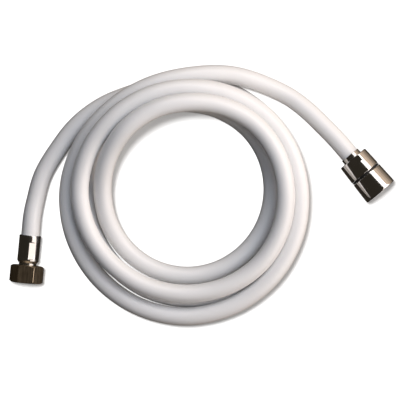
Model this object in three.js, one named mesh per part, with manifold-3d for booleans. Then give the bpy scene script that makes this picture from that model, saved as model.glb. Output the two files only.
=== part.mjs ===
// White flexible shower hose, lying in a loose coil of four turns.
// It has a hex union nut on one end and a turning connector on the other.
// Lengths are millimetres, +Z is up and the floor is the plane z = 0.
import * as THREE from "three";
import { mergeVertices } from "three/addons/utils/BufferGeometryUtils.js";
import Module from "manifold-3d";

const wasm = await Module();
wasm.setup();

// Clearances
const touchGap = 0.3;
const seatGap = 0.3;

// How far a cutting shape runs past the face that it cuts
const cutPast = 1;

// The hose
const hoseOuterD = 15;
const hoseBoreD = 9.5;
const hoseSides = 12;
const hoseRestZ = hoseOuterD / 2;

// Both ends carry a G1/2 inside thread, shown here at the diameter of its crests
const socketD = 18.8;
const socketLeadIn = 0.6;
const waterwayD = 5.6;
const washerThickness = 2;
const washerBoreD = 11;
const ferruleLipLength = 1.2;
const ferruleBoreD = hoseOuterD + 2 * touchGap;
const roundSegments = 48;
const edgeSteps = 3;
const innerSegments = 32;

// The barbed tail that each stem pushes into the hose
const tailLength = 18;
const barbPitch = 3.6;
const barbHeight = 0.4;
const barbD = hoseBoreD * Math.cos(Math.PI / hoseSides) - 2 * touchGap;
const tailLead = 1;

// Nut end, with places along its axis counted from the nut's mouth
const nutSides = 6;
const nutWall = 2.6;
const nutFlats = socketD + 2 * nutWall;
const nutLength = 14.2;
const nutSocketDepth = 11.5;
const nutCornerRise = 1.85;
const nutBlankD = nutFlats + 2 * nutCornerRise;
const nutFaceRise = 0.1;
const nutFaceD = nutFlats + 2 * nutFaceRise;
const nutChamferLength = 1.1;
const neckD = 12.4;
const flangePlay = 0.7;
const flangeD = socketD - 2 * flangePlay;
const flangeThickness = 2;
const collarD = 14.4;
const collarLength = 1.5;
const grooveD = 11.4;
const nutFerruleWall = 1;
const nutFerruleD = ferruleBoreD + 2 * nutFerruleWall;
const nutFerruleLength = 22.7;
const crimpDepth = 0.45;
const crimpFlats = nutFerruleD - 2 * crimpDepth;
const crimpCount = 8;
const crimpStart = 3.4;
const crimpLength = 13.4;
const crimpRampPerRise = 1.2;
const nutFerruleNoseDrop = 1.3;
const ferruleNoseLength = 2;
const ferruleEdge = 0.2;

// Turning end, with places along its axis counted from the connector's mouth
const shaftD = 11.4;
const noseStep = 0.7;
const noseD = shaftD - 2 * noseStep;
const headStep = 1.8;
const headD = shaftD + 2 * headStep;
const headLength = 2;
const headStandOff = 3.6;
const chamberD = headD + 2 * touchGap;
const sealSection = (chamberD - noseD) / 2 - 2 * touchGap;
const sealSides = 10;
const spigotWall = 2.1;
const spigotD = chamberD + 2 * spigotWall;
const ringWall = 2.9;
const ringD = spigotD + 2 * touchGap + 2 * ringWall;
const ringThickness = 1.7;
const ringRecess = 0.4;
const sleeveD = ringD + 2 * ringRecess;
const sleeveTaper = 0.6;
const sleeveLength = 15.4;
const sleeveFlatDepth = 1.5;
const sleeveFlats = sleeveD - 2 * sleeveFlatDepth;
const sleeveFlatLength = 5.7;
const sleeveWeb = 2.2;
const bearingThickness = 2.3;
const frontStep = 0.1;
const frontRearD = sleeveD + 2 * frontStep;
const frontFlare = 0.6;
const frontMouthD = frontRearD + 2 * frontFlare;
const frontLength = 18;
const frontSocketDepth = 10.5;
const frontWeb = 2.5;
const rimRound = 0.9;
const rimLand = 1.8;
const edgeRound = 0.5;
const turningFerruleWall = 0.5;
const turningFerruleD = ferruleBoreD + 2 * turningFerruleWall;
const turningFerruleShow = 3.7;
const turningFerruleNoseDrop = 0.4;

// Places along the two ends' axes. The hose stops just behind each ferrule's lip.
const nutCollarAt = nutLength + touchGap;
const nutFerruleAt = nutCollarAt + collarLength + touchGap;
const nutHoseAt = nutFerruleAt + ferruleLipLength + touchGap;
const sleeveAt = frontLength + 2 * touchGap + ringThickness;
const headAt = frontSocketDepth + frontWeb + headStandOff;
const bearingAt = headAt + headLength + touchGap;
const sleeveWebAt = bearingAt + bearingThickness + touchGap;
const shoulderAt = sleeveWebAt + sleeveWeb + touchGap;
const turningFerruleAt = shoulderAt + collarLength + touchGap;
const turningHoseAt = turningFerruleAt + ferruleLipLength + touchGap;
const turningFerruleEnd = sleeveAt + sleeveLength + turningFerruleShow;
const nutFerruleEnd = nutFerruleAt + nutFerruleLength;

// Route of the hose's centreline, measured from the middle of the coil
const coilCentre = [-11.3, 5.1];
const stationStep = 45;
const sectionsPerStation = 2;

// Straight run out of the turning end and on to the coil, chosen by hand: x, y, z
const turningTail = [
  [123.0, 40.7, 11.9],
  [111.8, 52.4, 10.8],
  [96.0, 67.5, 9.3],
];

// The coil, chosen by hand every eighth of a turn from 45 degrees on: radius, height
const coilStations = [
  [112.0, 8.5],
  [92.5, 22.3], [90.5, 22.2], [97.5, 13.5], [102.5, 9.0],
  [103.5, 14.0], [98.5, 20.5], [91.5, 23.0], [87.0, 24.0],
  [82.0, 34.5], [83.0, 36.5], [87.5, 26.0], [86.0, 23.5],
  [84.5, 22.5], [84.0, 26.5], [79.5, 34.0], [76.0, 35.5],
  [70.0, 44.5], [69.2, 43.3], [69.0, 23.0], [70.0, 10.0],
  [70.5, 7.5], [70.0, 7.5], [70.0, 7.5], [71.0, 7.5],
  [71.6, 7.5], [76.6, 7.5], [82.5, 7.5], [86.5, 7.5],
  [89.0, 7.5], [90.0, 7.5], [89.0, 7.5], [88.0, 7.5],
  [87.5, 7.5],
];
const coilStart = 45;

// From the coil to the nut end, chosen by hand: x, y, z
const nutTail = [
  [-21.6, 86.2, 7.5],
  [-42.6, 80.2, 7.5],
  [-68.9, 69.7, 7.5],
  [-90.5, 53.7, 7.5],
  [-107.1, 32.6, 7.5],
  [-119.1, 12.2, 7.5],
  [-124.9, -8.2, 8.4],
  [-127.4, -21.0, 10.4],
];

// Where each end's mouth lies, and the way its axis runs from the mouth into the hose.
// The connector lies on its front rim and on the front edge of its sleeve.
const nutMouth = [-132.6, -76.0, nutFlats / 2];
const nutAxis = [0.0955, 0.9954, 0];
const frontRimAt = rimRound + rimLand;
const frontSlope = (sleeveD - frontMouthD) / 2 / (sleeveAt + edgeRound - frontRimAt);
const frontMouth = [158.3, -1.5, frontMouthD / 2 - frontSlope * frontRimAt];
const frontAxis = [-0.64, 0.768, frontSlope];
const straightRun = 3;

const finishes = {
  whitePvc: { color: 0xf1f0ee, roughness: 0.35, metalness: 0 },
  nickel: { color: 0xb9b1a6, roughness: 0.16, metalness: 1 },
  chrome: { color: 0xcfd1d2, roughness: 0.08, metalness: 1 },
  steel: { color: 0xc4c4c2, roughness: 0.24, metalness: 1 },
  brass: { color: 0xb59a5c, roughness: 0.35, metalness: 1 },
  blackRubber: { color: 0x1b1b1c, roughness: 0.6, metalness: 0 },
  blackPlastic: { color: 0x202021, roughness: 0.4, metalness: 0 },
  whitePlastic: { color: 0xe6e5e0, roughness: 0.45, metalness: 0 },
};

function piece(name, geometry, finish) {
  const mesh = new THREE.Mesh(geometry, new THREE.MeshStandardMaterial(finishes[finish]));
  mesh.name = name;
  return mesh;
}

// A turned piece. The profile lists radius and place along the axis, round the section
// with the outside walked away from the mouth.
function turned(profile, segments = roundSegments) {
  const points = profile.map(([radius, along]) => new THREE.Vector2(radius, along));
  points.push(points[0].clone());
  const geometry = new THREE.LatheGeometry(points, segments);
  geometry.rotateX(Math.PI / 2);
  return geometry;
}

// A rounded outer edge of a turned piece, from its end face (way 1) or up to it (way -1)
function roundedEdge(radius, round, face, way) {
  const outline = [];
  for (let step = 0; step <= edgeSteps; step += 1) {
    const angle = (step / edgeSteps) * (Math.PI / 2);
    const inward = round * (1 - Math.sin(angle));
    const along = round * (1 - Math.cos(angle));
    outline.push([radius - inward, face + way * along]);
  }
  return way > 0 ? outline : outline.reverse();
}

function solidOf(geometry) {
  const bare = geometry.clone();
  bare.deleteAttribute("normal");
  bare.deleteAttribute("uv");
  const merged = mergeVertices(bare, 1e-4);
  return new wasm.Manifold(new wasm.Mesh({
    numProp: 3,
    vertProperties: new Float32Array(merged.attributes.position.array),
    triVerts: new Uint32Array(merged.index.array),
  }));
}

function geometryOf(solid) {
  const mesh = solid.getMesh();
  const geometry = new THREE.BufferGeometry();
  geometry.setAttribute("position", new THREE.BufferAttribute(mesh.vertProperties, mesh.numProp));
  geometry.setIndex(new THREE.BufferAttribute(mesh.triVerts, 1));
  geometry.computeVertexNormals();
  return geometry;
}

// A straight-sided bar along the axis from one place to another
function bar(shape, from, to) {
  const geometry = new THREE.ExtrudeGeometry(shape, { depth: to - from, bevelEnabled: false });
  geometry.translate(0, 0, from);
  return geometry;
}

// A value between stations, on a smooth cubic through the four nearest ones
function between(values, place) {
  const last = values.length - 1;
  const index = Math.min(Math.floor(place), last - 1);
  const t = place - index;
  const before = index > 0 ? values[index - 1] : 2 * values[0] - values[1];
  const here = values[index];
  const next = values[index + 1];
  const after = index + 2 <= last ? values[index + 2] : 2 * values[last] - values[last - 1];
  const slope = (next - before) / 2;
  const square = before - 2.5 * here + 2 * next - after / 2;
  const cube = (after - before) / 2 + 1.5 * (here - next);
  return here + t * (slope + t * (square + t * cube));
}

// A point on a fitting's axis, at a distance from its mouth
function onAxis(mouth, axis, along) {
  const direction = new THREE.Vector3(...axis).normalize();
  return new THREE.Vector3(...mouth).addScaledVector(direction, along);
}

function hoseRoute() {
  const radii = coilStations.map(([radius]) => radius);
  const heights = coilStations.map(([, height]) => height);
  const coil = [];
  for (let step = 0; step <= (coilStations.length - 1) * sectionsPerStation; step += 1) {
    const place = step / sectionsPerStation;
    const angle = THREE.MathUtils.degToRad(coilStart + place * stationStep);
    const radius = between(radii, place);
    const height = Math.max(hoseRestZ, between(heights, place));
    coil.push(new THREE.Vector3(radius * Math.cos(angle), radius * Math.sin(angle), height));
  }
  return [
    onAxis(frontMouth, frontAxis, turningHoseAt),
    onAxis(frontMouth, frontAxis, turningFerruleEnd + straightRun),
    ...turningTail.map((point) => new THREE.Vector3(...point)),
    ...coil,
    ...nutTail.map((point) => new THREE.Vector3(...point)),
    onAxis(nutMouth, nutAxis, nutFerruleEnd + straightRun),
    onAxis(nutMouth, nutAxis, nutHoseAt),
  ];
}

function circle(diameter, sides) {
  const outline = [];
  for (let side = 0; side < sides; side += 1) {
    const angle = (side * 2 * Math.PI) / sides;
    outline.push(new THREE.Vector2(
      (diameter / 2) * Math.cos(angle), (diameter / 2) * Math.sin(angle)));
  }
  return outline;
}

// The hose is one length of tube, open right through. Its sections stand on the route's
// points, at the same angles in every turn, so neighbouring turns stay side by side.
function hose() {
  const points = hoseRoute();
  const route = new THREE.CatmullRomCurve3(points);
  route.getUtoTmapping = (share) => share;
  const wall = new THREE.Shape(circle(hoseOuterD, hoseSides));
  wall.holes.push(new THREE.Path(circle(hoseBoreD, hoseSides)));
  const geometry = new THREE.ExtrudeGeometry(wall, {
    steps: points.length - 1,
    extrudePath: route,
  });
  return piece("hose", geometry, "whitePvc");
}

// The tail's outline from its open end back to the root, one sharp barb after another
function barbs(rootAt) {
  const rootR = barbD / 2 - barbHeight;
  const tip = rootAt + tailLength;
  const outline = [[rootR, rootAt]];
  const count = Math.floor((tailLength - 2 * tailLead) / barbPitch);
  for (let barb = 0; barb < count; barb += 1) {
    const crest = rootAt + tailLead + barb * barbPitch;
    outline.push([rootR, crest]);
    outline.push([barbD / 2, crest]);
  }
  outline.push([rootR, rootAt + tailLead + count * barbPitch]);
  outline.push([rootR - barbHeight, tip]);
  return outline;
}

// A thin sleeve pressed round the hose, with a lip rolled in behind the stem's collar
function ferrule(name, from, to, outerD, noseDrop) {
  const lipR = grooveD / 2 + touchGap;
  const wallR = ferruleBoreD / 2;
  const lip = from + ferruleLipLength;
  return piece(name, turned([
    [outerD / 2 - noseDrop, from],
    [outerD / 2, from + ferruleNoseLength],
    [outerD / 2, to - ferruleEdge],
    [outerD / 2 - ferruleEdge, to],
    [wallR, to],
    [wallR, lip],
    [lipR, lip],
    [lipR, from],
  ]), "steel");
}

function washer(name, seatAt) {
  const front = seatAt - seatGap - washerThickness;
  const outerR = socketD / 2 - touchGap;
  return piece(name, turned([
    [outerR, front],
    [outerR, front + washerThickness],
    [washerBoreD / 2, front + washerThickness],
    [washerBoreD / 2, front],
  ], innerSegments), "blackRubber");
}

// Nut end
function hexNut() {
  const cornerR = nutFlats / 2 / Math.cos(Math.PI / nutSides);
  const outline = [];
  for (let corner = 0; corner < nutSides; corner += 1) {
    const angle = (corner * 2 * Math.PI) / nutSides;
    outline.push(new THREE.Vector2(cornerR * Math.cos(angle), cornerR * Math.sin(angle)));
  }
  const hex = solidOf(bar(new THREE.Shape(outline), 0, nutLength));
  const rounded = solidOf(turned([
    [0, 0],
    [nutFaceD / 2, 0],
    [nutBlankD / 2, nutChamferLength],
    [nutBlankD / 2, nutLength - nutChamferLength],
    [nutFaceD / 2, nutLength],
    [0, nutLength],
  ]));
  const hollow = solidOf(turned([
    [0, -cutPast],
    [socketD / 2 + socketLeadIn + cutPast, -cutPast],
    [socketD / 2, socketLeadIn],
    [socketD / 2, nutSocketDepth],
    [neckD / 2 + touchGap, nutSocketDepth],
    [neckD / 2 + touchGap, nutLength + cutPast],
    [0, nutLength + cutPast],
  ]));
  return piece("hex_nut", geometryOf(hex.intersect(rounded).subtract(hollow)), "nickel");
}

function nutStem() {
  const flangeRear = nutSocketDepth - seatGap;
  const collarRear = nutCollarAt + collarLength;
  return piece("nut_stem", turned([
    [flangeD / 2, flangeRear - flangeThickness],
    [flangeD / 2, flangeRear],
    [neckD / 2, flangeRear],
    [neckD / 2, nutCollarAt],
    [collarD / 2, nutCollarAt],
    [collarD / 2, collarRear],
    [grooveD / 2, collarRear],
    [grooveD / 2, nutHoseAt - touchGap],
    ...barbs(nutHoseAt - touchGap),
    [waterwayD / 2, nutHoseAt - touchGap + tailLength],
    [waterwayD / 2, flangeRear - flangeThickness],
  ], innerSegments), "brass");
}

// The crimping jaws leave eight flats, each with a ramp at both ends
function crimpedFerrule() {
  const body = ferrule(
    "nut_ferrule", nutFerruleAt, nutFerruleEnd, nutFerruleD, nutFerruleNoseDrop);
  const start = nutFerruleAt + crimpStart;
  const end = start + crimpLength;
  const flatR = crimpFlats / 2;
  const outside = nutFerruleD / 2 + cutPast;
  const ramp = (outside - flatR) * crimpRampPerRise;
  const jaw = new THREE.Shape([
    new THREE.Vector2(flatR, start),
    new THREE.Vector2(outside, start - ramp),
    new THREE.Vector2(outside, end + ramp),
    new THREE.Vector2(flatR, end),
  ]);
  const block = new THREE.ExtrudeGeometry(jaw, { depth: nutFerruleD, bevelEnabled: false });
  block.translate(0, 0, -nutFerruleD / 2);
  block.rotateX(Math.PI / 2);
  let solid = solidOf(body.geometry);
  for (let flat = 0; flat < crimpCount; flat += 1) {
    const tool = block.clone();
    tool.rotateZ(((flat + 0.5) * 2 * Math.PI) / crimpCount);
    solid = solid.subtract(solidOf(tool));
  }
  body.geometry = geometryOf(solid);
  return body;
}

// Turning end
function plainFerrule() {
  return ferrule("turning_ferrule", turningFerruleAt, turningFerruleEnd, turningFerruleD,
    turningFerruleNoseDrop);
}

function frontNut() {
  const webRear = frontSocketDepth + frontWeb;
  return piece("front_nut", turned([
    ...roundedEdge(frontMouthD / 2, rimRound, 0, 1),
    [frontMouthD / 2, frontRimAt],
    ...roundedEdge(frontRearD / 2, edgeRound, frontLength, -1),
    [spigotD / 2 + touchGap, frontLength],
    [spigotD / 2 + touchGap, webRear],
    [noseD / 2 + touchGap, webRear],
    [noseD / 2 + touchGap, frontSocketDepth],
    [socketD / 2, frontSocketDepth],
    [socketD / 2, socketLeadIn],
    [socketD / 2 + socketLeadIn, 0],
  ]), "chrome");
}

function blackRing() {
  const from = frontLength + touchGap;
  return piece("slip_ring", turned([
    [ringD / 2, from],
    [ringD / 2, from + ringThickness],
    [spigotD / 2 + touchGap, from + ringThickness],
    [spigotD / 2 + touchGap, from],
  ]), "blackPlastic");
}

function rearSleeve() {
  const spigotFrom = frontSocketDepth + frontWeb + touchGap;
  const rear = sleeveAt + sleeveLength;
  const ferruleR = turningFerruleD / 2 + touchGap;
  const round = solidOf(turned([
    [spigotD / 2, spigotFrom],
    [spigotD / 2, sleeveAt],
    ...roundedEdge(sleeveD / 2, edgeRound, sleeveAt, 1),
    ...roundedEdge(sleeveD / 2 - sleeveTaper, rimRound, rear, -1),
    [ferruleR, rear],
    [ferruleR, sleeveWebAt + sleeveWeb],
    [shaftD / 2 + touchGap, sleeveWebAt + sleeveWeb],
    [shaftD / 2 + touchGap, sleeveWebAt],
    [chamberD / 2, sleeveWebAt],
    [chamberD / 2, spigotFrom],
  ]));
  let solid = round;
  for (const side of [-1, 1]) {
    const flat = new THREE.BoxGeometry(sleeveD, sleeveD, sleeveFlatLength + cutPast);
    const middle = rear + (cutPast - sleeveFlatLength) / 2;
    flat.translate((side * (sleeveFlats + sleeveD)) / 2, 0, middle);
    solid = solid.subtract(solidOf(flat));
  }
  return piece("rear_sleeve", geometryOf(solid), "chrome");
}

function turningStem() {
  const headRear = headAt + headLength;
  const shoulderRear = shoulderAt + collarLength;
  return piece("turning_stem", turned([
    [noseD / 2, frontSocketDepth + seatGap],
    [noseD / 2, headAt],
    [headD / 2, headAt],
    [headD / 2, headRear],
    [shaftD / 2, headRear],
    [shaftD / 2, shoulderAt],
    [collarD / 2, shoulderAt],
    [collarD / 2, shoulderRear],
    [grooveD / 2, shoulderRear],
    [grooveD / 2, turningHoseAt - touchGap],
    ...barbs(turningHoseAt - touchGap),
    [waterwayD / 2, turningHoseAt - touchGap + tailLength],
    [waterwayD / 2, frontSocketDepth + seatGap],
  ], innerSegments), "brass");
}

// The seal ring between the front nut's web and the head of the stem
function sealRing() {
  const section = sealSection / 2;
  const middleR = noseD / 2 + touchGap + section;
  const middleAt = headAt - headStandOff / 2;
  const geometry = new THREE.TorusGeometry(middleR, section, sealSides, innerSegments);
  geometry.translate(0, 0, middleAt);
  return piece("seal_ring", geometry, "blackRubber");
}

// The bearing washer that the stem's head turns on
function bearingWasher() {
  const rear = bearingAt + bearingThickness;
  return piece("bearing_washer", turned([
    [chamberD / 2 - touchGap, bearingAt],
    [chamberD / 2 - touchGap, rear],
    [shaftD / 2 + touchGap, rear],
    [shaftD / 2 + touchGap, bearingAt],
  ], innerSegments), "whitePlastic");
}

// Stands a fitting, built with its mouth at the origin and its axis up, in its place
function placed(mouth, axis, roll, ...pieces) {
  const along = new THREE.Vector3(...axis).normalize();
  const across = new THREE.Vector3(0, 0, 1).cross(along).normalize();
  const upward = along.clone().cross(across);
  const turn = new THREE.Matrix4().makeBasis(upward, across.negate(), along);
  const group = new THREE.Group();
  group.quaternion.setFromRotationMatrix(turn);
  group.rotateZ(roll);
  group.position.set(...mouth);
  group.add(...pieces);
  return group;
}

// Turns about the axes as they lie: the hex nut on a flat, the connector's flats level
const nutRoll = Math.PI / nutSides;
const connectorRoll = THREE.MathUtils.degToRad(-3);

const shower = new THREE.Group();
shower.add(hose());
shower.add(placed(nutMouth, nutAxis, nutRoll, hexNut(), washer("nut_washer",
  nutSocketDepth - seatGap - flangeThickness)));
shower.add(placed(nutMouth, nutAxis, 0, nutStem(), crimpedFerrule()));
shower.add(placed(frontMouth, frontAxis, connectorRoll, frontNut(), blackRing(), rearSleeve(),
  bearingWasher(), washer("front_washer", frontSocketDepth)));
shower.add(placed(frontMouth, frontAxis, 0, turningStem(), sealRing(), plainFerrule()));
shower.position.set(coilCentre[0], coilCentre[1], 0);

export default shower;
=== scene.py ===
"""A white shower hose in a loose coil, with a hex union nut and a turning connector."""

import math

import bmesh
import bpy
from mathutils import Matrix, Vector


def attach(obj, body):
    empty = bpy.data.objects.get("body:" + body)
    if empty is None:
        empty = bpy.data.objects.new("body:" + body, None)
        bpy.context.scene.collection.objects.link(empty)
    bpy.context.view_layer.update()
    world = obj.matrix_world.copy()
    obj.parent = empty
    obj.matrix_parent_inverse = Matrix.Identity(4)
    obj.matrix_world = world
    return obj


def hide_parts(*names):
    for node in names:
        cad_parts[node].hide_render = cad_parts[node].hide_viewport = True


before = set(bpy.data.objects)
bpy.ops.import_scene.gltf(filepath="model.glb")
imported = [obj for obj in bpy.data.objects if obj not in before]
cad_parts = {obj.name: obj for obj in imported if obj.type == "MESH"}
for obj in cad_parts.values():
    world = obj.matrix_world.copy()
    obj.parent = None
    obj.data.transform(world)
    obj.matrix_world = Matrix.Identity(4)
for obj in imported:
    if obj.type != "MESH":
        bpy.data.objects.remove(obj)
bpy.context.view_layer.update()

MM = 0.001
UP = Vector((0.0, 0.0, 1.0))
scene = bpy.context.scene


# Camera: straight above, so high that the hose keeps the photo's size
CAMERA_PLACE = (-0.0010, -0.0031, 1.380)
PICTURE_WIDTH = 0.3292
PICTURE_HEIGHT_ABOVE_FLOOR = 0.0075

camera_data = bpy.data.cameras.new("camera")
camera = bpy.data.objects.new("camera", camera_data)
scene.collection.objects.link(camera)
scene.camera = camera
camera.location = CAMERA_PLACE
half_picture = math.atan(
    PICTURE_WIDTH / 2 / (CAMERA_PLACE[2] - PICTURE_HEIGHT_ABOVE_FLOOR)
)
camera_data.sensor_width = 36.0
camera_data.lens = camera_data.sensor_width / 2 / math.tan(half_picture)
camera_data.clip_start = 0.05
camera_data.clip_end = 10.0


# The hose's route, in metres from the middle of the coil: the same points as the solid's
HOSE_D = 0.015
BORE_D = 0.0095
HOSE_SIDES = 32
POINT_SPACING = 0.0028
COIL_CENTRE = (-0.0113, 0.0051)
to_row = Vector((*COIL_CENTRE, 0.0))

# The coil's stations, each 45 degrees on from the last, give its radius and its height
COIL_START = 45
STATION_STEP = 45
SECTIONS_PER_STATION = 2
COIL_STATIONS = [
    (0.1120, 0.0085),
    (0.0925, 0.0223), (0.0905, 0.0222), (0.0975, 0.0135), (0.1025, 0.0090),
    (0.1035, 0.0140), (0.0985, 0.0205), (0.0915, 0.0230), (0.0870, 0.0240),
    (0.0820, 0.0345), (0.0830, 0.0365), (0.0875, 0.0260), (0.0860, 0.0235),
    (0.0845, 0.0225), (0.0840, 0.0265), (0.0795, 0.0340), (0.0760, 0.0355),
    (0.0700, 0.0445), (0.0692, 0.0433), (0.0690, 0.0230), (0.0700, 0.0100),
    (0.0705, 0.0075), (0.0700, 0.0075), (0.0700, 0.0075), (0.0710, 0.0075),
    (0.0716, 0.0075), (0.0766, 0.0075), (0.0825, 0.0075), (0.0865, 0.0075),
    (0.0890, 0.0075), (0.0900, 0.0075), (0.0890, 0.0075), (0.0880, 0.0075),
    (0.0875, 0.0075),
]

# The stretches from the coil to its two fittings
TURNING_TAIL = [
    (0.1230, 0.0407, 0.0119),
    (0.1118, 0.0524, 0.0108),
    (0.0960, 0.0675, 0.0093),
]
NUT_TAIL = [
    (-0.0216, 0.0862, 0.0075),
    (-0.0426, 0.0802, 0.0075),
    (-0.0689, 0.0697, 0.0075),
    (-0.0905, 0.0537, 0.0075),
    (-0.1071, 0.0326, 0.0075),
    (-0.1191, 0.0122, 0.0075),
    (-0.1249, -0.0082, 0.0084),
    (-0.1274, -0.0210, 0.0104),
]

# Each fitting's mouth, and the way from there into the hose
NUT_MOUTH = Vector((-0.1326, -0.0760, 0.0120))
NUT_AXIS = Vector((0.0955, 0.9954, 0.0)).normalized()
HOSE_FROM_NUT_MOUTH = 0.0178
LAST_FROM_NUT_MOUTH = 0.0420

# The connector lies on its slightly conical side, so its axis slopes down a little
CONNECTOR_MOUTH_D = 0.0284
SLEEVE_D = 0.0270
RIM_AT = 0.0027
SLEEVE_AT = 0.0208
FRONT_SLOPE = (SLEEVE_D - CONNECTOR_MOUTH_D) / 2 / (SLEEVE_AT - RIM_AT)
FRONT_MOUTH = Vector((0.1583, -0.0015, CONNECTOR_MOUTH_D / 2 - FRONT_SLOPE * RIM_AT))
FRONT_AXIS = Vector((-0.64, 0.768, FRONT_SLOPE)).normalized()
HOSE_FROM_FRONT_MOUTH = 0.0273
LAST_FROM_FRONT_MOUTH = 0.0424


def between(values, place):
    """A value between stations, on a smooth cubic through the four nearest ones."""
    last = len(values) - 1
    index = min(int(place), last - 1)
    t = place - index
    here, after = values[index], values[index + 1]
    before = values[index - 1] if index > 0 else 2 * values[0] - values[1]
    beyond = (
        values[index + 2] if index + 2 <= last else 2 * values[last] - values[last - 1]
    )
    slope = (after - before) / 2
    square = before - 2.5 * here + 2 * after - beyond / 2
    cube = (beyond - before) / 2 + 1.5 * (here - after)
    return here + t * (slope + t * (square + t * cube))


def hose_knots():
    """The points that the route passes through, from the connector to the nut."""
    radii = [radius for radius, _ in COIL_STATIONS]
    heights = [height for _, height in COIL_STATIONS]
    coil = []
    for step in range((len(COIL_STATIONS) - 1) * SECTIONS_PER_STATION + 1):
        place = step / SECTIONS_PER_STATION
        angle = math.radians(COIL_START + place * STATION_STEP)
        radius = between(radii, place)
        height = max(HOSE_D / 2, between(heights, place))
        coil.append(Vector((radius * math.cos(angle), radius * math.sin(angle), height)))
    knots = [
        FRONT_MOUTH + FRONT_AXIS * HOSE_FROM_FRONT_MOUTH,
        FRONT_MOUTH + FRONT_AXIS * LAST_FROM_FRONT_MOUTH,
        *(Vector(point) for point in TURNING_TAIL),
        *coil,
        *(Vector(point) for point in NUT_TAIL),
        NUT_MOUTH + NUT_AXIS * LAST_FROM_NUT_MOUTH,
        NUT_MOUTH + NUT_AXIS * HOSE_FROM_NUT_MOUTH,
    ]
    return [knot + to_row for knot in knots]


def smooth_route(knots, spacing):
    """Points on one smooth curve through the knots, about one spacing apart."""
    points = [knots[0]]
    for index in range(len(knots) - 1):
        here, after = knots[index], knots[index + 1]
        before = knots[index - 1] if index > 0 else 2 * here - after
        beyond = knots[index + 2] if index + 2 < len(knots) else 2 * after - here
        # Square roots of the distances keep close knots from making a loop
        first = max((here - before).length, 1e-6) ** 0.5
        middle = (after - here).length ** 0.5
        last = max((beyond - after).length, 1e-6) ** 0.5
        start = (
            (here - before) / first
            - (after - before) / (first + middle)
            + (after - here) / middle
        ) * middle
        end = (
            (after - here) / middle
            - (beyond - here) / (middle + last)
            + (beyond - after) / last
        ) * middle
        count = max(2, round((after - here).length / spacing))
        for step in range(1, count + 1):
            t = step / count
            points.append(
                here * (2 * t**3 - 3 * t**2 + 1)
                + start * (t**3 - 2 * t**2 + t)
                + after * (3 * t**2 - 2 * t**3)
                + end * (t**3 - t**2)
            )
    return points


def hose_mesh(name, route, sides):
    """A hollow tube along the route, with flat ends. Its UV is the share of the way round
    and the metres along."""
    build = bmesh.new()
    layer = build.loops.layers.uv.new("along_hose")
    travelled = [0.0]
    for a, b in zip(route, route[1:]):
        travelled.append(travelled[-1] + (b - a).length)
    side = UP
    rings = []
    for index, point in enumerate(route):
        ahead = route[min(index + 1, len(route) - 1)]
        behind = route[max(index - 1, 0)]
        along = (ahead - behind).normalized()
        side = (side - along * side.dot(along)).normalized()
        other = along.cross(side)
        ring = []
        for radius in (HOSE_D / 2, BORE_D / 2):
            for corner in range(sides):
                angle = 2 * math.pi * corner / sides
                out = side * math.cos(angle) + other * math.sin(angle)
                ring.append(build.verts.new(point + out * radius))
        rings.append(ring)
    for index, (ring, following) in enumerate(zip(rings, rings[1:])):
        for wall in (0, sides):
            for corner in range(sides):
                beside = (corner + 1) % sides
                corners = [
                    (ring[wall + corner], corner, index),
                    (ring[wall + beside], corner + 1, index),
                    (following[wall + beside], corner + 1, index + 1),
                    (following[wall + corner], corner, index + 1),
                ]
                if wall:
                    corners.reverse()
                face = build.faces.new([vertex for vertex, _, _ in corners])
                face.smooth = True
                for loop, (_, around, at) in zip(face.loops, corners):
                    loop[layer].uv = (around / sides, travelled[at])
    for ring, flip in ((rings[0], False), (rings[-1], True)):
        for corner in range(sides):
            beside = (corner + 1) % sides
            corners = [
                ring[corner], ring[sides + corner], ring[sides + beside], ring[beside]
            ]
            if flip:
                corners.reverse()
            build.faces.new(corners)
    mesh = bpy.data.meshes.new(name)
    build.to_mesh(mesh)
    build.free()
    return mesh, travelled[-1]


hose_path = smooth_route(hose_knots(), POINT_SPACING)
hose_data, hose_length = hose_mesh("white_hose", hose_path, HOSE_SIDES)
white_hose = bpy.data.objects.new("white_hose", hose_data)
scene.collection.objects.link(white_hose)
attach(white_hose, "hose_with_stems")
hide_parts("hose")


def fitting_frame(mouth, axis):
    """A fitting's own frame: +X up, +Z from its mouth into the hose."""
    across = UP.cross(axis).normalized()
    upward = axis.cross(across)
    turn = Matrix((upward, -across, axis)).transposed()
    return Matrix.Translation(mouth + to_row) @ turn.to_4x4()


nut_frame = fitting_frame(NUT_MOUTH, NUT_AXIS)
front_frame = fitting_frame(FRONT_MOUTH, FRONT_AXIS)


# Finishes
def linear(hex_colour):
    """The shader's colour for an sRGB hex value."""
    parts = [int(hex_colour[i : i + 2], 16) / 255 for i in (0, 2, 4)]
    return (
        *((c / 12.92 if c <= 0.04045 else ((c + 0.055) / 1.055) ** 2.4) for c in parts),
        1.0,
    )


def scale_for(size_mm):
    """The noise scale whose marks are about this many millimetres apart."""
    return 1.0 / (size_mm * MM)


def add(tree, kind, settings=None, **inputs):
    """Adds a node. An input is named by its socket, or by i and its number, and gets a
    value or a socket to link."""
    node = tree.nodes.new(kind)
    for name, value in (settings or {}).items():
        setattr(node, name, value)
    for name, value in inputs.items():
        numbered = name[0] == "i" and name[1:].isdigit()
        key = int(name[1:]) if numbered else name.replace("_", " ")
        if isinstance(value, bpy.types.NodeSocket):
            tree.links.new(value, node.inputs[key])
        else:
            node.inputs[key].default_value = value
    return node


def new_finish(name, colour, roughness, metallic=0.0):
    """A material with its shader. Returns the material, its tree and the shader."""
    material = bpy.data.materials.new(name)
    material.use_nodes = True
    tree = material.node_tree
    shader = tree.nodes["Principled BSDF"]
    shader.inputs["Base Color"].default_value = linear(colour)
    shader.inputs["Roughness"].default_value = roughness
    shader.inputs["Metallic"].default_value = metallic
    return material, tree, shader


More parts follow.
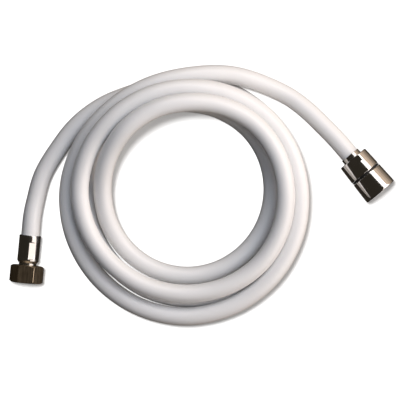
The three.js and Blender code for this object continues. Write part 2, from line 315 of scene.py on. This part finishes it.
def soft_vinyl():
    """Plasticised PVC, extruded."""
    material, tree, shader = new_finish("plasticised_pvc_white_extruded", "E4E4E2", 0.3)
    shader.inputs["IOR"].default_value = 1.53
    shader.inputs["Subsurface Weight"].default_value = 0.12
    shader.inputs["Subsurface Radius"].default_value = (1.0, 0.95, 0.9)
    shader.inputs["Subsurface Scale"].default_value = 1.5 * MM
    uv = add(tree, "ShaderNodeUVMap", {"uv_map": "along_hose"})
    # Die lines run the hose's whole length, 40 round it, which is 1.2 mm apart
    lines = add(tree, "ShaderNodeMapping", Vector=uv.outputs["UV"], Scale=(40.0, 1.2, 1.0))
    drawn = add(tree, "ShaderNodeTexNoise", Vector=lines.outputs["Vector"], Scale=1.0,
                Detail=2.0)
    bump = add(tree, "ShaderNodeBump", Height=drawn.outputs["Fac"], Strength=0.25,
               Distance=0.08 * MM)
    tree.links.new(bump.outputs["Normal"], shader.inputs["Normal"])
    # Handling leaves cloudy patches a few centimetres long
    place_on = add(tree, "ShaderNodeTexCoord")
    cloud = add(tree, "ShaderNodeTexNoise", Vector=place_on.outputs["Object"],
                Scale=scale_for(35.714), Detail=3.0)
    tone = add(tree, "ShaderNodeMapRange", Value=cloud.outputs["Fac"], To_Min=0.26,
               To_Max=0.38)
    tree.links.new(tone.outputs["Result"], shader.inputs["Roughness"])
    tint = add(tree, "ShaderNodeMix", {"data_type": "RGBA"}, i0=cloud.outputs["Fac"],
               i6=linear("E2E2E1"), i7=linear("E6E5E4"))
    tree.links.new(tint.outputs[2], shader.inputs["Base Color"])
    return material


def turned_metal(name, colour, roughness, fitting, ring_depth, dark_draw_lines=None,
                 rubbed_radius=None):
    """A metal finish with the tool's fine rings round a fitting's axis. A part of drawn bar
    also has the die's lines along it, and corners that hands and spanners have polished."""
    material, tree, shader = new_finish(name, colour, roughness, 1.0)
    coordinates = add(tree, "ShaderNodeTexCoord")
    local = add(tree, "ShaderNodeMapping", {"vector_type": "TEXTURE"},
                Vector=coordinates.outputs["Object"], Location=fitting.to_translation(),
                Rotation=fitting.to_euler())
    parts = add(tree, "ShaderNodeSeparateXYZ", Vector=local.outputs["Vector"])
    level = add(tree, "ShaderNodeCombineXYZ", X=parts.outputs["X"], Y=parts.outputs["Y"])
    radius = add(tree, "ShaderNodeVectorMath", {"operation": "LENGTH"},
                 i0=level.outputs["Vector"])
    ringed = add(tree, "ShaderNodeCombineXYZ", X=radius.outputs["Value"],
                 Z=parts.outputs["Z"])
    # The real rings are about 0.1 mm apart. These are three times as coarse, so that
    # they show close by
    rings = add(tree, "ShaderNodeTexNoise", Vector=ringed.outputs["Vector"],
                Scale=scale_for(1 / 3), Detail=2.0)
    bump = add(tree, "ShaderNodeBump", Height=rings.outputs["Fac"], Strength=0.3,
               Distance=ring_depth)
    tree.links.new(bump.outputs["Normal"], shader.inputs["Normal"])
    # Use leaves duller marks a few millimetres apart
    marks = add(tree, "ShaderNodeTexNoise", Vector=coordinates.outputs["Object"],
                Scale=scale_for(3.846), Detail=4.0)
    worn = add(tree, "ShaderNodeMapRange", Value=marks.outputs["Fac"], From_Min=0.35,
               From_Max=0.7, To_Min=roughness, To_Max=roughness + 0.05)
    tree.links.new(worn.outputs["Result"], shader.inputs["Roughness"])
    if dark_draw_lines:
        # About 1.5 mm apart and ten times as long
        lengthwise = add(tree, "ShaderNodeMapping", Vector=local.outputs["Vector"],
                         Scale=(1.0, 1.0, 0.1))
        drawn = add(tree, "ShaderNodeTexNoise", Vector=lengthwise.outputs["Vector"],
                    Scale=scale_for(1.5385), Detail=3.0)
        share = add(tree, "ShaderNodeMapRange", Value=drawn.outputs["Fac"], From_Min=0.32,
                    From_Max=0.68)
        tone = add(tree, "ShaderNodeMix", {"data_type": "RGBA"}, i0=share.outputs["Result"],
                   i6=linear(dark_draw_lines), i7=linear(colour))
        tree.links.new(tone.outputs[2], shader.inputs["Base Color"])
    if rubbed_radius:
        # The polish starts 0.4 mm inside the corners
        corner = add(tree, "ShaderNodeMapRange", Value=radius.outputs["Value"],
                     From_Min=(rubbed_radius - 0.4) * MM, From_Max=rubbed_radius * MM,
                     To_Min=1.0, To_Max=0.55)
        rubbed = add(tree, "ShaderNodeMath", {"operation": "MULTIPLY"},
                     i0=worn.outputs["Result"], i1=corner.outputs["Result"])
        tree.links.new(rubbed.outputs[0], shader.inputs["Roughness"])
    return material


def moulded(name, colour, roughness, grain_mm, grain_depth):
    """A rubber or plastic with a fine even grain."""
    material, tree, shader = new_finish(name, colour, roughness)
    coordinates = add(tree, "ShaderNodeTexCoord")
    grain = add(tree, "ShaderNodeTexNoise", Vector=coordinates.outputs["Object"],
                Scale=scale_for(grain_mm), Detail=3.0)
    tone = add(tree, "ShaderNodeMapRange", Value=grain.outputs["Fac"],
               To_Min=roughness - 0.06, To_Max=roughness + 0.08)
    tree.links.new(tone.outputs["Result"], shader.inputs["Roughness"])
    bump = add(tree, "ShaderNodeBump", Height=grain.outputs["Fac"], Strength=0.4,
               Distance=grain_depth)
    tree.links.new(bump.outputs["Normal"], shader.inputs["Normal"])
    return material


def finish(piece, material):
    piece.data.materials.append(material)


# Smooth, milky and slightly soft to light, with broad highlights and faint lines along it
white_pvc = soft_vinyl()
# Nickel plate on drawn brass bar: a warm, half-matt mirror, darker in lines along the bar
# and brighter where its corners are rubbed
nickel = turned_metal("nickel_plated_brass_polished", "D2C3AC", 0.3, nut_frame, 0.004 * MM,
                      dark_draw_lines="9E917D", rubbed_radius=13.6)
# Stainless steel pressed or drawn from sheet: a neutral grey mirror with a little haze
steel_nut_end = turned_metal("stainless_steel_pressed", "C9CACA", 0.16, nut_frame,
                             0.005 * MM)
steel_turning_end = turned_metal("stainless_steel_drawn", "C9CACA", 0.16, front_frame,
                                 0.005 * MM)
# Chrome plate on polished brass: a bright, neutral, nearly clear mirror
chrome = turned_metal("chrome_plated_brass_polished", "D6D7D8", 0.08, front_frame,
                      0.0015 * MM)
# Brass as the lathe leaves it: yellow, with deeper rings that blur what it mirrors
brass = turned_metal("cz121_brass_turned", "C8A560", 0.28, front_frame, 0.01 * MM)
# Moulded EPDM rubber: black and dull
rubber = moulded("epdm_rubber_moulded", "1B1B1C", 0.62, 0.25, 0.02 * MM)
# Moulded ABS: a deeper black with a low gloss
black_plastic = moulded("abs_black_moulded", "0D0D0E", 0.5, 0.3, 0.01 * MM)
# Machined acetal: off-white and waxy
acetal = moulded("acetal_white_machined", "E4E3DE", 0.42, 0.4, 0.01 * MM)


# Fittings: turned pieces, and the ridges that repeat on them. Sizes are in millimetres. A
# point of an outline is its radius, its place along from the fitting's mouth and, where its
# corner is softened, how far. The outline goes round the piece's section and closes.
ROUND_SIDES = 144
SHARP_EDGE = math.radians(32)
# The least distance between neighbouring rings, so that none fall together
RING_STEP = 0.05
# How far a ridge reaches into the wall that carries it
SUNK = 0.05
RIDGE_POINTS = 96

# The thread's crests are as wide apart as the solids' plain sockets
SOCKET_RADIUS = 9.4
THREAD_DEPTH = 1.0
ROOT_RADIUS = SOCKET_RADIUS + THREAD_DEPTH
MOUTH_RADIUS = 10.9
LEAD_IN = 0.5
THREAD_START = 0.7
THREAD_STOPS_SHORT = 0.5
NUT_SOCKET_END = 11.5
FRONT_SOCKET_END = 10.5

# A stem's tail, which the hose is pushed on
TAIL_RADIUS = 3.89
TAIL_LENGTH = 18.0
TAIL_CHAMFER = 0.4
BARB_RADIUS = 4.29
FIRST_BARB = 1.0
NUT_TAIL_START = 17.5
TURNING_TAIL_START = 27.0
WATERWAY_RADIUS = 2.8

# Spanner flats on the nut and on the connector's sleeve, and how far the latter are turned
ACROSS_FLATS = 24.0
FLAT_TURN = math.radians(-3)


def softened(corners, steps=3):
    """A closed outline with its soft corners rounded."""
    outline = []
    count = len(corners)
    for index, (radius, along, *soft) in enumerate(corners):
        here = Vector((radius, along))
        if not soft:
            outline.append((radius, along))
            continue
        before = Vector(corners[index - 1][:2]) - here
        after = Vector(corners[(index + 1) % count][:2]) - here
        # Two soft corners may share an edge, so each takes less than half of it
        cut = min(soft[0], before.length * 0.45, after.length * 0.45)
        start = here + before.normalized() * cut
        end = here + after.normalized() * cut
        for step in range(steps + 1):
            t = step / steps
            point = start * (1 - t) ** 2 + here * 2 * t * (1 - t) + end * t**2
            outline.append((point.x, point.y))
    return outline


def closed_piece(name, build):
    """A piece of closed shells, smooth but for its sharp edges."""
    bmesh.ops.remove_doubles(build, verts=build.verts, dist=1e-7)
    bmesh.ops.recalc_face_normals(build, faces=build.faces)
    for face in build.faces:
        face.smooth = True
    mesh = bpy.data.meshes.new(name)
    build.to_mesh(mesh)
    build.free()
    mesh.set_sharp_from_angle(angle=SHARP_EDGE)
    piece = bpy.data.objects.new(name, mesh)
    scene.collection.objects.link(piece)
    return piece


def lathe(name, outline, fitting, sides=ROUND_SIDES):
    """A closed turned piece. A point of its outline may be a function of the angle."""
    build = bmesh.new()
    rows = []
    for point in outline:
        row = []
        for side in range(sides):
            angle = 2 * math.pi * side / sides
            radius, along = point(angle) if callable(point) else point
            local = Vector((radius * math.cos(angle), radius * math.sin(angle), along))
            row.append(build.verts.new(fitting @ (local * MM)))
        rows.append(row)
    for index, row in enumerate(rows):
        following = rows[(index + 1) % len(rows)]
        for side in range(sides):
            beside = (side + 1) % sides
            build.faces.new([row[side], row[beside], following[beside], following[side]])
    return closed_piece(name, build)


def new_tree(name, sizes):
    """A node tree with inputs for these sizes and a finish. Returns it and its inputs."""
    tree = bpy.data.node_groups.new(name, "GeometryNodeTree")
    for size, value in sizes.items():
        kind = "NodeSocketInt" if isinstance(value, int) else "NodeSocketFloat"
        socket = tree.interface.new_socket(size, in_out="INPUT", socket_type=kind)
        socket.default_value = value
    tree.interface.new_socket("Finish", in_out="INPUT", socket_type="NodeSocketMaterial")
    tree.interface.new_socket("Geometry", in_out="OUTPUT",
                              socket_type="NodeSocketGeometry")
    return tree, add(tree, "NodeGroupInput").outputs


def end_tree(tree, geometry, material):
    whole = add(tree, "GeometryNodeRealizeInstances", Geometry=geometry)
    dressed = add(tree, "GeometryNodeSetMaterial", Geometry=whole.outputs["Geometry"],
                  Material=material)
    add(tree, "NodeGroupOutput", Geometry=dressed.outputs["Geometry"])


def ridge(tree, path, corners, scale=1.0):
    """A section swept along a path round the axis. Each corner is outward and backward."""
    level = add(tree, "GeometryNodeSetCurveNormal", {"mode": "Z_UP"}, Curve=path)
    points = [
        add(tree, "ShaderNodeCombineXYZ", X=outward, Y=backward).outputs["Vector"]
        for outward, backward in corners
    ]
    section = add(tree, "GeometryNodeCurvePrimitiveQuadrilateral", {"mode": "POINTS"},
                  Point_1=points[0], Point_2=points[1], Point_3=points[2],
                  Point_4=points[3])
    return add(tree, "GeometryNodeCurveToMesh", Curve=level.outputs["Curve"],
               Profile_Curve=section.outputs["Curve"], Scale=scale,
               Fill_Caps=True).outputs["Mesh"]


def thread_tree():
    """A G1/2 thread in a socket: one right-handed ridge that climbs its wall, run out to
    nothing at both ends."""
    tree, size = new_tree("screw_thread", {
        "Root Radius": ROOT_RADIUS, "Depth": THREAD_DEPTH, "Pitch": 1.814,
        "Crest Width": 0.38, "Start": THREAD_START, "End": NUT_SOCKET_END,
        "Runout Turns": 0.4, "Points per Turn": RIDGE_POINTS,
    })
    length = add(tree, "ShaderNodeMath", {"operation": "SUBTRACT"}, i0=size["End"],
                 i1=size["Start"])
    turns = add(tree, "ShaderNodeMath", {"operation": "DIVIDE"}, i0=length.outputs[0],
                i1=size["Pitch"])
    helix = add(tree, "GeometryNodeCurveSpiral", Resolution=size["Points per Turn"],
                Rotations=turns.outputs[0], Start_Radius=size["Root Radius"],
                End_Radius=size["Root Radius"], Height=length.outputs[0], Reverse=True)
    # The flat at the root is as wide as the flat at the crest
    foot = add(tree, "ShaderNodeMath", {"operation": "SUBTRACT"}, i0=size["Pitch"],
               i1=size["Crest Width"])
    halves = [
        add(tree, "ShaderNodeMath", {"operation": "MULTIPLY"}, i0=width, i1=half).outputs[0]
        for width in (foot.outputs[0], size["Crest Width"])
        for half in (-0.5, 0.5)
    ]
    inward = add(tree, "ShaderNodeMath", {"operation": "MULTIPLY"}, i0=size["Depth"],
                 i1=-1.0)
    # The ridge shrinks with the turns that are left to its nearer end
    along = add(tree, "GeometryNodeSplineParameter")
    from_end = add(tree, "ShaderNodeMath", {"operation": "PINGPONG"},
                   i0=along.outputs["Factor"], i1=0.5)
    turns_in = add(tree, "ShaderNodeMath", {"operation": "MULTIPLY"},
                   i0=from_end.outputs[0], i1=turns.outputs[0])
    runout = add(tree, "ShaderNodeMapRange", Value=turns_in.outputs[0],
                 From_Max=size["Runout Turns"], To_Min=0.04)
    corners = [
        (SUNK, halves[0]),
        (SUNK, halves[1]),
        (inward.outputs[0], halves[3]),
        (inward.outputs[0], halves[2]),
    ]
    turned = ridge(tree, helix.outputs["Curve"], corners, runout.outputs["Result"])
    start = add(tree, "ShaderNodeCombineXYZ", Z=size["Start"])
    placed = add(tree, "GeometryNodeTransform", Geometry=turned,
                 Translation=start.outputs["Vector"])
    end_tree(tree, placed.outputs["Geometry"], size["Finish"])
    return tree


def barb_tree():
    """The tail's barbs: rings, steep toward the fitting and with a long slope behind."""
    tree, size = new_tree("hose_barbs", {
        "Root Radius": TAIL_RADIUS, "Crest Radius": BARB_RADIUS, "Pitch": 3.6,
        "Start": NUT_TAIL_START + FIRST_BARB, "Count": 4, "Points per Turn": RIDGE_POINTS,
    })
    rise = add(tree, "ShaderNodeMath", {"operation": "SUBTRACT"}, i0=size["Crest Radius"],
               i1=size["Root Radius"])
    round_tail = add(tree, "GeometryNodeCurvePrimitiveCircle",
                     Resolution=size["Points per Turn"], Radius=size["Root Radius"])
    # The slope ends a little before the next ring, so that the two stay apart
    slope_end = add(tree, "ShaderNodeMath", {"operation": "MULTIPLY"}, i0=size["Pitch"],
                    i1=-0.96)
    corners = [
        (-SUNK, 0.0),
        (rise.outputs[0], -0.05),
        (rise.outputs[0], -0.3),
        (-SUNK, slope_end.outputs[0]),
    ]
    ring = ridge(tree, round_tail.outputs["Curve"], corners)
    start = add(tree, "ShaderNodeCombineXYZ", Z=size["Start"])
    step = add(tree, "ShaderNodeCombineXYZ", Z=size["Pitch"])
    row = add(tree, "GeometryNodeMeshLine", Count=size["Count"],
              Start_Location=start.outputs["Vector"], Offset=step.outputs["Vector"])
    barbs = add(tree, "GeometryNodeInstanceOnPoints", Points=row.outputs["Mesh"],
                Instance=ring)
    end_tree(tree, barbs.outputs["Instances"], size["Finish"])
    return tree


def grown(name, tree, fitting, material, sizes):
    """The plain mesh that a tree makes with these sizes, set in a fitting's own frame."""
    maker = bpy.data.objects.new(name + "_maker", bpy.data.meshes.new(name + "_maker"))
    scene.collection.objects.link(maker)
    modifier = maker.modifiers.new("maker", "NODES")
    modifier.node_group = tree
    values = {"Finish": material, **sizes}
    for socket in tree.interface.items_tree:
        if socket.name in values:
            modifier[socket.identifier] = values[socket.name]
    shaped = maker.evaluated_get(bpy.context.evaluated_depsgraph_get())
    shape = bpy.data.meshes.new_from_object(shaped)
    shape.transform(fitting @ Matrix.Scale(MM, 4))
    bpy.data.objects.remove(maker)
    build = bmesh.new()
    build.from_mesh(shape)
    bpy.data.meshes.remove(shape)
    return closed_piece(name, build)


def hex_rings(flats, blank_radius, face_radius, chamfer, length, corner):
    """Outside of a hex nut with softened corners, turned off to a cone at both ends."""
    sector = math.pi / 3
    centre = (flats / 2 - corner) / math.cos(sector / 2)
    meets = math.atan2(
        corner * math.sin(sector / 2), centre + corner * math.cos(sector / 2)
    )

    def hex_radius(angle):
        off = (angle + sector / 2) % sector - sector / 2
        short = sector / 2 - abs(off)
        if short >= meets:
            return flats / 2 / math.cos(off)
        across = math.sqrt(corner**2 - (centre * math.sin(short)) ** 2)
        return min(blank_radius, centre * math.cos(short) + across)

    def cone_at(radius):
        share = (radius - face_radius) / (blank_radius - face_radius)
        return max(RING_STEP, share * chamfer)

    def front(angle):
        radius = hex_radius(angle)
        return radius, cone_at(radius)

    def rear(angle):
        radius = hex_radius(angle)
        return radius, length - cone_at(radius)

    def front_face(angle):
        return min(face_radius, hex_radius(angle) - RING_STEP), 0.0

    def rear_face(angle):
        return min(face_radius, hex_radius(angle) - RING_STEP), length

    return [front_face, front, rear, rear_face]


def crimp_rings(radius, flat_radius, start, end, count, ramp):
    """Outside of a ferrule that jaws have pressed to flats with sloping ends."""
    sector = 2 * math.pi / count

    def sunk(angle):
        off = angle % sector - sector / 2
        return max(0.0, radius - flat_radius / math.cos(off))

    return [
        lambda angle: (radius, start - RING_STEP - ramp * sunk(angle)),
        lambda angle: (radius - sunk(angle), start),
        lambda angle: (radius - sunk(angle), end),
        lambda angle: (radius, end + RING_STEP + ramp * sunk(angle)),
    ]


def flat_sided(outline, flats, turn):
    """The same outline with two opposite flats milled on it."""

    def ring_for(radius, along):
        def ring(angle):
            off = (angle - turn + math.pi / 2) % math.pi - math.pi / 2
            return min(radius, flats / 2 / max(0.2, math.cos(off))), along

        return ring

    return [ring_for(radius, along) for radius, along in outline]


def socket_wall(end):
    """A socket from its end to its mouth, down to the thread's root."""
    return [(ROOT_RADIUS, end), (ROOT_RADIUS, LEAD_IN), (MOUTH_RADIUS, 0.0)]


def tail(start):
    """A stem's tail, with a small chamfer at its tip, as far as the waterway."""
    end = start + TAIL_LENGTH
    return [
        (TAIL_RADIUS, start),
        (TAIL_RADIUS, end - TAIL_CHAMFER),
        (TAIL_RADIUS - TAIL_CHAMFER, end),
        (WATERWAY_RADIUS, end),
    ]


def washer(name, fitting, radius, bore_radius, start, end, soft):
    outline = softened([
        (radius, start, soft), (radius, end, soft),
        (bore_radius, end, soft), (bore_radius, start, soft),
    ])
    return lathe(name, outline, fitting)


def stand_in(piece, body, *nodes):
    """Sets a piece on a body in place of its solids."""
    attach(piece, body)
    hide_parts(*nodes)
    return piece


union_nut = stand_in(
    lathe(
        "union_nut_hex",
        [
            *hex_rings(flats=ACROSS_FLATS, blank_radius=13.85, face_radius=12.1,
                       chamfer=1.1, length=14.2, corner=0.7),
            (6.75, 14.2),
            (6.5, 13.95),
            (6.5, NUT_SOCKET_END),
            *socket_wall(NUT_SOCKET_END),
        ],
        nut_frame,
        sides=720,
    ),
    "union_nut",
    "hex_nut",
)

screw_thread = thread_tree()
nut_thread = stand_in(
    grown("union_nut_thread", screw_thread, nut_frame, nickel,
          {"End": NUT_SOCKET_END - THREAD_STOPS_SHORT}),
    "union_nut",
    "hex_nut",
)

nut_washer = stand_in(
    washer("nut_seal_washer", nut_frame, radius=9.1, bore_radius=5.5, start=6.9, end=8.9,
           soft=0.25),
    "union_nut",
    "nut_washer",
)

nut_stem = stand_in(
    lathe(
        "nut_end_stem",
        softened([
            (8.7, 9.2, 0.2), (8.7, 11.2, 0.2), (6.2, 11.2), (6.2, 14.5),
            (7.2, 14.5, 0.25), (7.2, 16.0, 0.25), (5.7, 16.0), (5.7, NUT_TAIL_START),
            *tail(NUT_TAIL_START),
            (WATERWAY_RADIUS, 9.2),
        ]),
        nut_frame,
    ),
    "hose_with_stems",
    "nut_stem",
)

hose_barbs = barb_tree()
nut_barbs = stand_in(
    grown("nut_stem_barbs", hose_barbs, nut_frame, steel_nut_end,
          {"Start": NUT_TAIL_START + FIRST_BARB}),
    "hose_with_stems",
    "nut_stem",
)

nut_ferrule = stand_in(
    lathe(
        "crimped_ferrule",
        [
            (7.35, 16.3),
            (7.62, 16.42),
            (8.55, 17.95),
            (8.8, 18.25),
            *crimp_rings(radius=8.8, flat_radius=8.35, start=19.7, end=33.1, count=8,
                         ramp=1.2),
            (8.8, 38.7),
            (8.72, 38.9),
            (8.5, 39.0),
            (7.8, 39.0),
            (7.8, 17.5),
            (6.0, 17.5),
            (6.0, 16.3),
        ],
        nut_frame,
        sides=160,
    ),
    "hose_with_stems",
    "nut_ferrule",
)

front_nut = stand_in(
    lathe(
        "connector_front_nut",
        softened([
            (14.2, 0.0, 0.9), (14.2, 2.7, 0.4), (13.6, 18.0, 0.2), (10.2, 18.0),
            (10.2, 13.0), (5.3, 13.0), (5.3, FRONT_SOCKET_END),
            *socket_wall(FRONT_SOCKET_END),
        ]),
        front_frame,
    ),
    "connector",
    "front_nut",
)

front_thread = stand_in(
    grown("connector_thread", screw_thread, front_frame, chrome,
          {"End": FRONT_SOCKET_END - THREAD_STOPS_SHORT}),
    "connector",
    "front_nut",
)

front_washer = stand_in(
    washer("connector_seal_washer", front_frame, radius=9.1, bore_radius=5.5, start=8.2,
           end=10.2, soft=0.25),
    "connector",
    "front_washer",
)

slip_ring = stand_in(
    lathe(
        "black_slip_ring",
        softened([(13.1, 18.3, 0.2), (13.1, 20.0, 0.2), (10.2, 20.0), (10.2, 18.3)]),
        front_frame,
    ),
    "connector",
    "slip_ring",
)

# The sleeve is round where it meets the black ring, and has two flats at its back
sleeve_edge = softened([(9.9, 20.3), (13.5, 20.3, 0.2), (12.9, 35.7)], 4)[1:-1]
sleeve_end = softened([(13.1, 30.0), (12.87, 35.7, 0.9), (8.6, 35.7)], 4)[:-1]
rear_sleeve = stand_in(
    lathe(
        "connector_rear_sleeve",
        [
            (9.9, 13.3),
            (9.9, 20.3),
            *sleeve_edge,
            (13.11, 29.9),
            *flat_sided(sleeve_end, ACROSS_FLATS, FLAT_TURN),
            (8.75, 35.7),
            (8.6, 35.55),
            (8.6, 23.7),
            (6.0, 23.7),
            (6.0, 21.5),
            (7.8, 21.5),
            (7.8, 13.3),
        ],
        front_frame,
        sides=180,
    ),
    "connector",
    "rear_sleeve",
)

bearing_washer = stand_in(
    washer("stem_bearing_washer", front_frame, radius=7.5, bore_radius=6.0, start=18.9,
           end=21.2, soft=0.15),
    "connector",
    "bearing_washer",
)

turning_stem = stand_in(
    lathe(
        "turning_end_stem",
        softened([
            (5.0, 10.8, 0.2), (5.0, 16.6), (7.5, 16.6, 0.15), (7.5, 18.6, 0.15),
            (5.7, 18.6), (5.7, 24.0), (7.2, 24.0, 0.2), (7.2, 25.5, 0.2),
            (5.7, 25.5), (5.7, TURNING_TAIL_START),
            *tail(TURNING_TAIL_START),
            (WATERWAY_RADIUS, 10.8),
        ]),
        front_frame,
    ),
    "hose_with_stems",
    "turning_stem",
)

turning_barbs = stand_in(
    grown("turning_stem_barbs", hose_barbs, front_frame, brass,
          {"Start": TURNING_TAIL_START + FIRST_BARB}),
    "hose_with_stems",
    "turning_stem",
)

SEAL_RADIUS = 6.4
SEAL_AT = 14.8
SEAL_SECTION = 1.1
SEAL_SIDES = 16
seal_outline = []
for seal_side in range(SEAL_SIDES):
    seal_angle = 2 * math.pi * seal_side / SEAL_SIDES
    seal_outline.append((
        SEAL_RADIUS + SEAL_SECTION * math.cos(seal_angle),
        SEAL_AT + SEAL_SECTION * math.sin(seal_angle),
    ))
seal_ring = stand_in(
    lathe("stem_seal_ring", seal_outline, front_frame),
    "hose_with_stems",
    "seal_ring",
)

turning_ferrule = stand_in(
    lathe(
        "plain_ferrule",
        softened([
            (7.9, 25.8, 0.2), (8.3, 27.8), (8.3, 39.4, 0.2), (7.8, 39.4), (7.8, 27.0),
            (6.0, 27.0), (6.0, 25.8),
        ]),
        front_frame,
    ),
    "hose_with_stems",
    "turning_ferrule",
)


# Each piece's finish and slot
finish(white_hose, white_pvc)
finish(union_nut, nickel)
finish(nut_thread, nickel)
finish(nut_stem, steel_nut_end)
finish(nut_barbs, steel_nut_end)
finish(nut_ferrule, steel_nut_end)
finish(front_nut, chrome)
finish(front_thread, chrome)
finish(rear_sleeve, chrome)
finish(turning_ferrule, steel_turning_end)
finish(turning_stem, brass)
finish(turning_barbs, brass)
finish(slip_ring, black_plastic)
finish(nut_washer, rubber)
finish(front_washer, rubber)
finish(seal_ring, rubber)
finish(bearing_washer, acetal)


# Studio: a pale table with a lamp of its own, soft light on the hose from the right and
# from a wall behind, a fill from overhead that the metals don't mirror, and a dim room
TABLE_HALF = 6.0
TABLE_TOP = -0.0002
LAMP_AT = 1.6

table_white, _, table_shader = new_finish("matt_white_table", "FFFFFF", 0.9)
table_shader.inputs["Specular IOR Level"].default_value = 0.0
table_shader.inputs["Emission Color"].default_value = linear("FFFFFF")
table_shader.inputs["Emission Strength"].default_value = 0.28

floor_data = bpy.data.meshes.new("floor")
floor_data.from_pydata(
    [
        (-TABLE_HALF, -TABLE_HALF, TABLE_TOP),
        (TABLE_HALF, -TABLE_HALF, TABLE_TOP),
        (TABLE_HALF, TABLE_HALF, TABLE_TOP),
        (-TABLE_HALF, TABLE_HALF, TABLE_TOP),
    ],
    [],
    [(0, 1, 2, 3)],
)
floor_data.materials.append(table_white)
floor = bpy.data.objects.new("floor", floor_data)
scene.collection.objects.link(floor)
floor.visible_diffuse = False
floor.visible_glossy = False


def reached(name, state):
    """What a lamp lights: the table alone, or all but the table."""
    group = bpy.data.collections.new(name)
    group.objects.link(floor)
    group.collection_objects[0].light_linking.link_state = state
    return group


table_only = reached("table_only", "INCLUDE")
object_only = reached("object_only", "EXCLUDE")


def softbox(name, azimuth, tilt, half_wide, half_high, brightness, colour):
    """A lamp panel aimed at the hose from LAMP_AT metres. Azimuth 0 is the picture's right
    and 90 its top, and tilt is from straight up. Its size is by angle, all in degrees."""
    data = bpy.data.lights.new(name, "AREA")
    data.shape = "RECTANGLE"
    data.size = 2.0 * LAMP_AT * math.tan(math.radians(half_wide))
    data.size_y = 2.0 * LAMP_AT * math.tan(math.radians(half_high))
    data.energy = brightness * math.pi * data.size * data.size_y
    data.color = linear(colour)[:3]
    light = bpy.data.objects.new(name, data)
    a, t = math.radians(azimuth), math.radians(tilt)
    where = Vector((math.cos(a) * math.sin(t), math.sin(a) * math.sin(t), math.cos(t)))
    light.location = where * LAMP_AT
    light.rotation_mode = "QUATERNION"
    light.rotation_quaternion = (-where).to_track_quat("-Z", "Y")
    light.visible_camera = False
    light.light_linking.receiver_collection = object_only
    scene.collection.objects.link(light)
    return light


softbox("right_softbox", azimuth=-12, tilt=58, half_wide=38, half_high=30,
        brightness=1.95, colour="FFF1E7")
softbox("back_softbox", azimuth=60, tilt=43.5, half_wide=33, half_high=13.5,
        brightness=2.5, colour="FFF9F4")
# The wall below the back softbox is lit too, and dimmer toward the table
for wall_tilt, wall_brightness in ((66, 0.85), (84, 0.6), (102, 0.35), (120, 0.2)):
    softbox(f"warm_wall_{wall_tilt}", azimuth=62, tilt=wall_tilt, half_wide=42,
            half_high=9.2, brightness=wall_brightness, colour="FFE2C6")
back_fill = softbox("back_fill", azimuth=60, tilt=18, half_wide=26, half_high=24,
                    brightness=1.6, colour="D8E8FF")
back_fill.visible_glossy = False

# The table's own lamp doesn't dim with distance, so the table stays pale to its far edge
table_light = bpy.data.lights.new("table_lamp", "POINT")
table_light.energy = 36.6
table_light.shadow_soft_size = 0.14
table_light.use_nodes = True
emission = table_light.node_tree.nodes["Emission"]
even = add(table_light.node_tree, "ShaderNodeLightFalloff", Strength=1.0)
table_light.node_tree.links.new(even.outputs["Constant"], emission.inputs["Strength"])
table_lamp = bpy.data.objects.new("table_lamp", table_light)
table_lamp.location = (-0.177, 0.177, 1.58)
table_lamp.light_linking.receiver_collection = table_only
scene.collection.objects.link(table_lamp)

world = bpy.data.worlds.new("studio_room")
scene.world = world
world.use_nodes = True
background = world.node_tree.nodes["Background"]
background.inputs["Color"].default_value = linear("F5E0C4")
background.inputs["Strength"].default_value = 0.036

scene.view_settings.view_transform = "Standard"
scene.view_settings.look = "None"
scene.view_settings.exposure = 0.0
